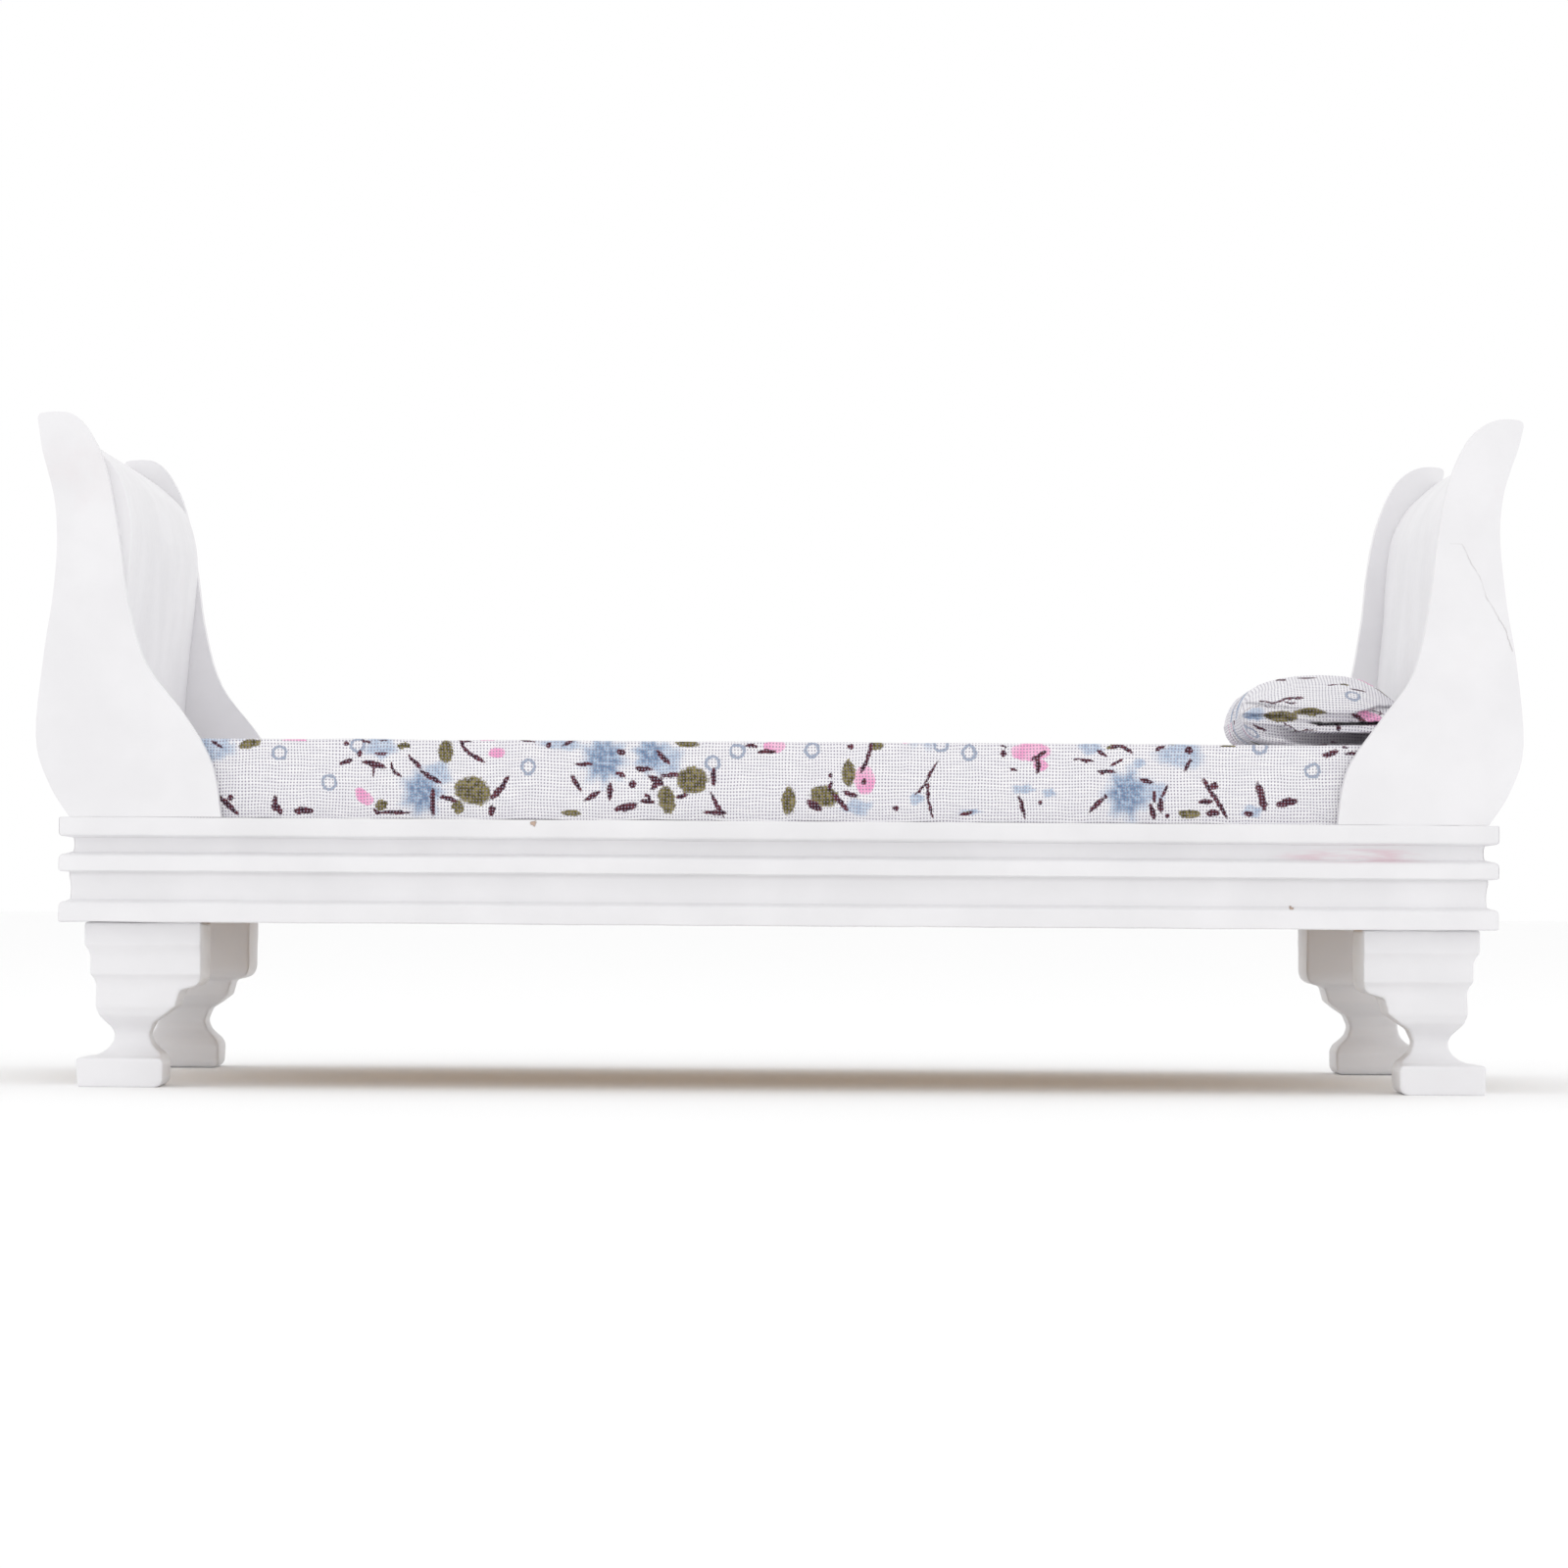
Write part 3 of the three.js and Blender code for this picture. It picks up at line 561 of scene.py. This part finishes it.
def printed_cotton():
    """White open plain weave with a small print of flowers, leaves, twigs and rings, with painted shade
    darkening the cloth deep in the pillow's turned-in ends.
    """
    g = Graph("printed_cotton")
    cloth = g.layer("fabric")
    waviness = g.vector("SUBTRACT", g.noise(cloth, 0.22, 2.0, 0.5, colour=True), (0.5, 0.5, 0.5))
    woven = g.vector("MULTIPLY_ADD", waviness, (0.55, 0.55, 0.0), cloth)
    across, up, _ = g.split(g.scaled(woven, 2 * math.pi / THREAD_PITCH))
    weave = g.math("ADD", g.math("COSINE", across), g.math("COSINE", up))
    slubs = g.noise(g.vector("MULTIPLY", woven, (0.35, 2.6, 1.0)), 1.0, 2.0, 0.5)
    holes = g.between(weave, 0.5, 1.3)

    place = print_place(g, cloth)
    turned = {angle: g.turned(place, -angle) for angle in range(0, 180, LEAN)}
    brush = g.noise(cloth, 1.5, 4.0, 0.75)
    fading = g.noise(cloth, 0.6, 2.0, 0.5)
    depth = g.number("fold_depth")

    pale = nearest_flower(g, place, whole_row(PALE_FLOWERS, PILLOW_PALE_FLOWERS), (3, 5, 4))
    deep = nearest_flower(g, place, whole_row(DEEP_FLOWERS, PILLOW_DEEP_FLOWERS), (7, 9, 8))
    rings = nearest_ring(g, place, whole_row(RINGS, PILLOW_RINGS))
    buds = nearest_oval(g, turned, whole_row(BUDS, PILLOW_BUDS))
    leaves = nearest_oval(g, turned, whole_row(LEAVES, PILLOW_LEAVES))
    twigs = nearest_oval(g, turned, whole_row(TWIGS, PILLOW_TWIGS))

    ground = g.mix(g.between(slubs, 0.4, 0.65), linear(240, 239, 243), linear(249, 248, 250))
    pale_ink = g.mix(g.between(brush, 0.42, 0.62), linear(200, 214, 232), linear(158, 180, 208))
    deep_ink = g.mix(g.between(brush, 0.4, 0.58), linear(178, 198, 222), linear(104, 131, 166))
    pink_ink = g.mix(g.between(fading, 0.35, 0.65), linear(252, 196, 224), linear(246, 160, 206))
    leaf_ink = g.mix(g.between(brush, 0.38, 0.6), linear(146, 136, 88), linear(76, 70, 34))
    twig_ink = g.mix(g.between(brush, 0.38, 0.6), linear(104, 52, 62), linear(46, 18, 30))

    soft = g.math("MULTIPLY_ADD", g.math("SUBTRACT", brush, 0.5), 1.1, pale)
    colour = g.mix(g.between(soft, 1.35, 0.75, 0.0, 0.85), ground, pale_ink)
    soft = g.math("MULTIPLY_ADD", g.math("SUBTRACT", brush, 0.5), 1.4, deep)
    colour = g.mix(g.between(soft, 1.6, 1.0, 0.0, 0.6), colour, pale_ink)
    colour = g.mix(g.between(soft, 1.2, 0.7, 0.0, 0.95), colour, deep_ink)
    colour = g.mix(g.between(rings, 1.2, 0.7, 0.0, 0.75), colour, linear(132, 152, 180))
    colour = g.mix(g.between(buds, 1.06, 0.9, 0.0, 0.95), colour, pink_ink)
    rough = g.math("MULTIPLY", g.math("SUBTRACT", brush, 0.5), 0.9)
    colour = g.mix(g.between(g.math("ADD", leaves, rough), 1.1, 0.9), colour, leaf_ink)
    colour = g.mix(g.between(g.math("ADD", twigs, rough), 1.32, 1.02), colour, twig_ink)
    colour = g.mix(g.math("MULTIPLY", holes, 0.9), colour, linear(146, 138, 156))
    # Painted shade: the cloth turns dark purple-grey the deeper it lies in the pillow's turned-in ends.
    colour = g.mix(g.between(depth, 1.5, 7.0, 0.0, 0.75), colour, linear(92, 80, 92))

    g.put(g.shader.inputs["Base Color"], colour)
    g.shader.inputs["Roughness"].default_value = 0.9
    g.shader.inputs["Specular IOR Level"].default_value = 0.2
    g.shader.inputs["Sheen Weight"].default_value = 0.15
    g.shader.inputs["Sheen Roughness"].default_value = 0.5
    relief = g.bump(weave, -0.03 * MM, 0.7)
    g.put(g.shader.inputs["Normal"], g.bump(slubs, 0.06 * MM, 0.5, relief))
    return g.material


# ---- meshes from the frame ----


def add_piece(name, mesh, material, body, replaced):
    """A finished piece that rides on its body and stands for the CAD nodes replaced."""
    piece = bpy.data.objects.new(name, mesh)
    bpy.context.scene.collection.objects.link(piece)
    mesh.materials.clear()
    mesh.materials.append(material)
    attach(piece, body)
    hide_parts(*replaced)
    return piece


def add_painted(node, mesh, paint):
    """The painted piece that stands for one of the bedstead's nodes."""
    return add_piece(node + "_painted", mesh, paint, "bedstead", [node])


def welded_copy(node, flat_angle=1.0):
    """A node's mesh as a bmesh, its points welded and its flat faces merged."""
    bm = bmesh.new()
    bm.from_mesh(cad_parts[node].data)
    bmesh.ops.remove_doubles(bm, verts=bm.verts, dist=0.002 * MM)
    bmesh.ops.dissolve_limit(
        bm, angle_limit=math.radians(flat_angle), verts=bm.verts, edges=bm.edges
    )
    return bm


def sharp_edges(bm, angle, above):
    """Edges where two faces meet at more than angle, with some part of them above a height."""
    limit = math.radians(angle)
    folded = [e for e in bm.edges if len(e.link_faces) == 2 and e.calc_face_angle(0) > limit]
    return [e for e in folded if max(v.co.z for v in e.verts) > above]


def soften(bm, angle, width, segments=3, above=-1.0):
    """Rounds every edge sharper than angle, as thick paint does."""
    bmesh.ops.bevel(
        bm,
        geom=sharp_edges(bm, angle, above),
        offset=width,
        segments=segments,
        profile=0.5,
        affect="EDGES",
        clamp_overlap=True,
    )


def slice_across(bm, axis, step):
    """Cuts the mesh into even slices along an axis, so that it can be bent."""
    places = [v.co[axis] for v in bm.verts]
    low, high = min(places), max(places)
    count = max(1, round((high - low) / step))
    normal = Vector([float(i == axis) for i in range(3)])
    for i in range(1, count):
        point = normal * (low + (high - low) * i / count)
        geometry = bm.verts[:] + bm.edges[:] + bm.faces[:]
        bmesh.ops.bisect_plane(bm, geom=geometry, plane_co=point, plane_no=normal)


def wobble(bm, amount, scale, seed):
    """Moves each point by smooth noise, for the small unevenness of hand-painted wood."""
    offset = Vector((seed * 7.3, seed * 3.1, seed * 5.7))
    for vert in bm.verts:
        vert.co += noise.noise_vector(vert.co / scale + offset) * amount


def to_mesh(bm, name, smooth_angle=32):
    mesh = bpy.data.meshes.new(name)
    bm.to_mesh(mesh)
    bm.free()
    mesh.polygons.foreach_set("use_smooth", [True] * len(mesh.polygons))
    mesh.set_sharp_from_angle(angle=math.radians(smooth_angle))
    return mesh


def add_modifier(obj, kind, **settings):
    modifier = obj.modifiers.new(kind.lower(), kind)
    for name, value in settings.items():
        setattr(modifier, name, value)
    return modifier


def with_modifiers(mesh, *steps):
    """The mesh after a chain of modifiers, each given as (kind, settings)."""
    carrier = bpy.data.objects.new("carrier", mesh)
    bpy.context.scene.collection.objects.link(carrier)
    for kind, settings in steps:
        add_modifier(carrier, kind, **settings)
    graph = bpy.context.evaluated_depsgraph_get()
    made = bpy.data.meshes.new_from_object(carrier.evaluated_get(graph))
    bpy.data.objects.remove(carrier)
    made.name = mesh.name
    return made


def dress_rails(paint):
    """The moulded rails, sliced along their length so that the mouldings waver a little."""
    for seed, node in enumerate(RAILS):
        along = 0 if node in ("front_rail", "back_rail") else 1
        bm = welded_copy(node)
        slice_across(bm, along, 2.5 * MM)
        wobble(bm, 0.05 * MM, 9 * MM, seed)
        wobble(bm, 0.03 * MM, 2.2 * MM, seed + 10)
        add_painted(node, to_mesh(bm, node), paint)


def dress_end_boards(paint):
    """Side boards and curved panels with edges rounded by paint."""
    for seed, node in enumerate(BOARDS + PANELS):
        bm = welded_copy(node, 0.5)
        soften(bm, 40, 0.28 * MM, above=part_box(node)[0][2] + 1 * MM)
        slice_across(bm, 2, 3 * MM)
        if node in PANELS:
            slice_across(bm, 1, 4 * MM)
        wobble(bm, (0.02 if node in PANELS else 0.05) * MM, 12 * MM, seed + 20)
        piece = add_painted(node, to_mesh(bm, node), paint)
        add_modifier(piece, "WEIGHTED_NORMAL", keep_sharp=True)


def dress_feet(paint):
    """The bracket feet, with every edge and hollow softened under thick paint."""
    for seed, node in enumerate(FEET):
        bm = welded_copy(node)
        mesh = bpy.data.meshes.new(node)
        bm.to_mesh(mesh)
        bm.free()
        mesh = with_modifiers(
            mesh,
            ("REMESH", {"mode": "VOXEL", "voxel_size": 0.22 * MM, "use_smooth_shade": True}),
            ("SMOOTH", {"factor": 0.5, "iterations": 4}),
            ("DECIMATE", {"ratio": 0.35}),
        )
        bm = bmesh.new()
        bm.from_mesh(mesh)
        wobble(bm, 0.08 * MM, 6 * MM, seed + 40)
        for vert in bm.verts:
            vert.co.z = max(vert.co.z, 0.0)
        add_painted(node, to_mesh(bm, node, 180), paint)


def lay_fabric(bm, box, origin=(0.0, 0.0)):
    """The cloth's own coordinates in millimetres: up the front, over the top, down the back."""
    low, high = box
    layer = bm.loops.layers.uv.new("fabric")
    for face in bm.faces:
        normal = face.normal
        end = abs(normal.x) > max(abs(normal.y), 0.3)
        for loop in face.loops:
            x, y, z = loop.vert.co
            drop = high[2] - z
            up = (high[2] - low[2]) + (y - low[1])
            if not end:
                up += drop if y > 0 else -drop
            along = x + math.copysign(drop, x) if end else x
            loop[layer].uv = (along / MM + origin[0], up / MM + origin[1])


def make_mattress(cotton):
    """The cloth wrapped round the slab, crisp at its folds and a little uneven on top."""
    node = "mattress_cover"
    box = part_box(node)
    bm = welded_copy(node)
    soften(bm, 40, 0.2 * MM, 2, above=box[0][2] + 1 * MM)
    for axis in (0, 1):
        slice_across(bm, axis, 1.6 * MM)
    slice_across(bm, 2, 1.6 * MM)
    bm.normal_update()
    lay_fabric(bm, box)
    wobble(bm, 0.1 * MM, 8 * MM, 61)
    mesh = to_mesh(bm, node)
    piece = add_piece("mattress_fabric", mesh, cotton, "mattress", [node])


# ---- pillow ----

# The pillow's outline seen from its end, in millimetres across it and above the mattress.
PILLOW_TOP = [
    (-10.6, 3.8), (-10.5, 4.9), (-10.1, 6.0), (-9.3, 7.2), (-8.1, 8.0), (-6.7, 8.5), (-5.2, 8.8),
    (-3.7, 9.0), (-0.7, 9.1), (2.3, 9.05), (4.6, 8.6), (6.5, 7.6), (8.1, 6.3), (9.5, 5.1),
    (10.4, 4.0), (10.7, 3.1),
]
PILLOW_BOTTOM = [
    (-10.6, 3.8), (-10.4, 2.6), (-9.8, 1.6), (-8.8, 0.9), (-7.4, 0.4), (-5.6, 0.0), (8.0, 0.0),
    (9.4, 0.5), (10.3, 1.5), (10.7, 3.1),
]
PILLOW_LENGTH = 58.0
PILLOW_TURN = -1.9  # degrees, as it lies on the mattress
PILLOW_DOME = 9.0  # how far the top panel's curve reaches in from the end
FOLD_SHARE = 0.5  # of the pillow's height, where the top panel turns in under itself
PILLOW_UNDER = 2.3  # how far the underside's edge lies in from the end
PILLOW_CORNER_IN = 2.2  # how much each end draws in at its corners
SIMULATION_SCALE = 20.0
SIMULATION_FRAMES = 18

# The turned-in layers of each end: the lower edge of each layer as (across, height) points, how
# deep the cloth behind it lies as (across, depth) points, and how far below it that reaches.
PILLOW_LAYERS = [
    (
        [(-11.0, 5.7), (-6.8, 5.3), (-4.3, 4.85), (-1.0, 4.4), (0.5, 4.15), (3.1, 4.2), (6.5, 5.1)],
        [(-11.3, 0.0), (-10.3, 0.7), (-6.0, 0.6), (-3.0, 0.3), (0.0, 0.8), (3.0, 1.2), (7.0, 0.9)],
        1.3,
    ),
    (
        [(-11.0, 4.15), (-7.8, 4.1), (-5.7, 3.9), (-3.4, 3.35), (-0.5, 3.1), (6.2, 3.25), (11.0, 3.3)],
        [(-11.3, 0.0), (-10.5, 0.8), (-7.3, 0.9), (-5.8, 0.4), (-2.4, 0.5), (-0.7, 4.5), (11.0, 5.5)],
        0.5,
    ),
    (
        [(-10.1, 3.0), (-8.3, 2.8), (-5.5, 2.65), (-4.3, 2.1), (-2.1, 1.85), (5.0, 1.9), (11.0, 1.9)],
        [(-11.0, 0.0), (-9.3, 0.9), (-6.3, 1.8), (-4.6, 2.8), (-2.5, 3.9), (4.0, 6.0), (11.0, 6.5)],
        1.9,
    ),
]


def along_points(points, places):
    """A line through (place, value) points, read at some places."""
    return np.interp(places, [p[0] for p in points], [p[1] for p in points])


def end_profile(end_rows):
    """One end from bottom to top: shares of the height, and how far in from the end."""
    lower = np.linspace(0, FOLD_SHARE, end_rows, endpoint=False)
    turn = np.linspace(0, math.pi / 2, end_rows)
    tuck = np.clip((0.16 - lower) / 0.16, 0, 1)
    share = np.concatenate([lower, FOLD_SHARE + (1 - FOLD_SHARE) * np.sin(turn)])
    upper = 0.3 * np.cos(turn) ** 4 + PILLOW_DOME * (1 - np.cos(turn)) ** 0.7
    return share, np.concatenate([0.3 + 2.0 * (1 - np.sqrt(1 - tuck**2)), upper])


def pillow_section(columns, end_rows, top_rows, bottom_rows):
    """Points of the stuffed bag in millimetres, as columns of closed loops round its length."""
    left, right = PILLOW_TOP[0][0], PILLOW_TOP[-1][0]
    even = np.linspace(0, 1, columns + 1)
    x = left + (right - left) * (0.3 * even + 0.35 * (1 - np.cos(math.pi * even)))
    top, bottom = along_points(PILLOW_TOP, x), along_points(PILLOW_BOTTOM, x)
    edge = np.clip((np.abs(2 * even - 1) - 0.75) / 0.25, 0, 1)
    half = PILLOW_LENGTH / 2
    squeeze = 1 - PILLOW_CORNER_IN * (1 - np.sqrt(1 - edge**2)) / half
    share, depth = end_profile(end_rows)
    over = np.linspace(PILLOW_DOME - half, half - PILLOW_DOME, top_rows + 2)[1:-1]
    under = np.linspace(half - PILLOW_UNDER, PILLOW_UNDER - half, bottom_rows + 2)[1:-1]
    across = np.concatenate([depth - half, over, half - depth[::-1], under])
    columns_of_points = []
    for i in range(columns + 1):
        tall = top[i] - bottom[i]
        end = bottom[i] + tall * share
        heights = np.concatenate(
            [end, np.full(top_rows, top[i]), end[::-1], np.full(bottom_rows, bottom[i])]
        )
        place = np.full(len(across), x[i])
        columns_of_points.append(np.stack([place, across * squeeze[i], heights], 1))
    return np.stack(columns_of_points)


def build_pillow(columns=56, end_rows=22, top_rows=44, bottom_rows=30):
    """The bag as a mesh in metres about its own middle, with its cloth laid out."""
    points = pillow_section(columns, end_rows, top_rows, bottom_rows)
    middle = points[columns // 2]
    steps = np.linalg.norm(np.diff(middle, axis=0, append=middle[:1]), axis=1)
    up = PILLOW_UP + np.concatenate([[0], np.cumsum(steps)])
    outline = points[:, end_rows * 2 + top_rows // 2]
    around = np.concatenate([[0], np.cumsum(np.linalg.norm(np.diff(outline, axis=0), axis=1))])
    around += outline[columns // 2, 0] - around[columns // 2]

    rows = points.shape[1]
    faces, cloth = [], []
    for c in range(columns):
        for r in range(rows):
            following = (r + 1) % rows
            here, beside = c * rows, (c + 1) * rows
            faces.append([here + r, beside + r, beside + following, here + following])
            at_end = r < 2 * end_rows or 2 * end_rows + top_rows <= r < 4 * end_rows + top_rows
            side = (points[:, r, 0] if at_end else around) + PILLOW_ALONG
            corners = ((c, r), (c + 1, r), (c + 1, r + 1), (c, r + 1))
            cloth += [(side[column], up[row]) for column, row in corners]
    mesh = bpy.data.meshes.new("pillow")
    mesh.from_pydata((points.reshape(-1, 3) * MM).tolist(), [], faces)
    layer = mesh.uv_layers.new(name="fabric")
    layer.data.foreach_set("uv", np.array(cloth).ravel())
    return mesh


def read_points(mesh):
    places = np.empty(len(mesh.vertices) * 3)
    mesh.vertices.foreach_get("co", places)
    return places.reshape(-1, 3)


def write_points(mesh, places):
    mesh.vertices.foreach_set("co", places.ravel())
    mesh.update()


def swell(mesh, pinned, cap):
    """Blows the bag up as cloth where it isn't pinned, each point moving at most cap."""
    rest = read_points(mesh)
    bag_mesh = mesh.copy()
    write_points(bag_mesh, rest * SIMULATION_SCALE)
    bag = bpy.data.objects.new("bag", bag_mesh)
    scene = bpy.context.scene
    scene.collection.objects.link(bag)
    pin = bag.vertex_groups.new(name="pin")
    for index, weight in enumerate(pinned(rest)):
        pin.add([index], float(weight), "REPLACE")
    cloth = bag.modifiers.new("cloth", "CLOTH")
    settings = cloth.settings
    settings.quality = 5
    settings.mass = 0.2
    settings.tension_stiffness = 12
    settings.compression_stiffness = 12
    settings.shear_stiffness = 4
    settings.bending_stiffness = 0.3
    settings.shrink_min = -0.04
    settings.use_pressure = True
    settings.uniform_pressure_force = 4
    settings.vertex_group_mass = "pin"
    settings.effector_weights.gravity = 0
    cloth.point_cache.frame_start, cloth.point_cache.frame_end = 1, SIMULATION_FRAMES
    for number in range(1, SIMULATION_FRAMES + 1):
        scene.frame_set(number)
    evaluated = bag.evaluated_get(bpy.context.evaluated_depsgraph_get())
    shift = read_points(evaluated.data) / SIMULATION_SCALE - rest
    scene.frame_set(1)
    bpy.data.objects.remove(bag)
    length = np.linalg.norm(shift, axis=1, keepdims=True)
    write_points(mesh, rest + shift * cap * np.tanh(length / cap) / np.maximum(length, 1e-9))


def pillow_pins(places):
    """Holds the bag's underside, and its turned-in ends where the layers are pressed in."""
    height = places[:, 2] / MM
    from_end = PILLOW_LENGTH / 2 - np.abs(places[:, 1]) / MM
    underside = np.clip(1.2 - height, 0, 1)
    ends = np.clip(2.0 - from_end, 0, 1) * np.clip(6.0 - height, 0, 1)
    return np.maximum(underside, ends)


def fold_ends(mesh):
    """Presses the turned-in layers into both ends, and notes how deep each point lies, which the cotton
    uses to paint shade into the folds.
    """
    places = read_points(mesh) / MM
    x, height = places[:, 0], places[:, 2]
    from_end = PILLOW_LENGTH / 2 - np.abs(places[:, 1])
    pressed = np.zeros(len(places))
    for edge, depth, reach in PILLOW_LAYERS:
        below = along_points(edge, x) - height
        entered = np.clip(below / 0.08, 0, 1)
        left_over = np.clip((reach - below) / (0.45 * reach), 0, 1)
        ease = left_over**2 * (3 - 2 * left_over)
        pressed = np.maximum(pressed, along_points(depth, x) * entered * ease)
    pressed *= np.clip((7.0 - from_end) / 3.0, 0, 1) * np.clip(height / 0.1, 0, 1)
    places[:, 1] -= pressed * np.sign(places[:, 1])
    write_points(mesh, places * MM)
    # The depth kept here drives the painted shade in the folds.
    depth_layer = mesh.attributes.new("fold_depth", "FLOAT", "POINT")
    depth_layer.data.foreach_set("value", pressed)


def make_pillow(cotton):
    """The little stuffed pillow, its cloth turned in at both ends."""
    mesh = build_pillow()
    swell(mesh, pillow_pins, 0.35 * MM)
    mesh = with_modifiers(mesh, ("SUBSURF", {"levels": 1, "render_levels": 1}))
    fold_ends(mesh)
    bm = bmesh.new()
    bm.from_mesh(mesh)
    bmesh.ops.remove_doubles(bm, verts=bm.verts, dist=0.001 * MM)
    bmesh.ops.recalc_face_normals(bm, faces=bm.faces)
    low, high = (Vector(corner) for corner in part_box("pillow"))
    middle = (low + high) / 2
    place = Matrix.Translation((middle.x, middle.y, low.z))
    bm.transform(place @ Matrix.Rotation(math.radians(PILLOW_TURN), 4, "Z"))
    wobble(bm, 0.12 * MM, 5 * MM, 71)
    mesh = to_mesh(bm, "pillow", 180)
    piece = add_piece("pillow_fabric", mesh, cotton, "pillow", ["pillow"])


make_camera()
make_studio()
paint = white_paint()
dress_rails(paint)
dress_end_boards(paint)
dress_feet(paint)
dress_hidden_parts()
cotton = printed_cotton()
make_mattress(cotton)
make_pillow(cotton)
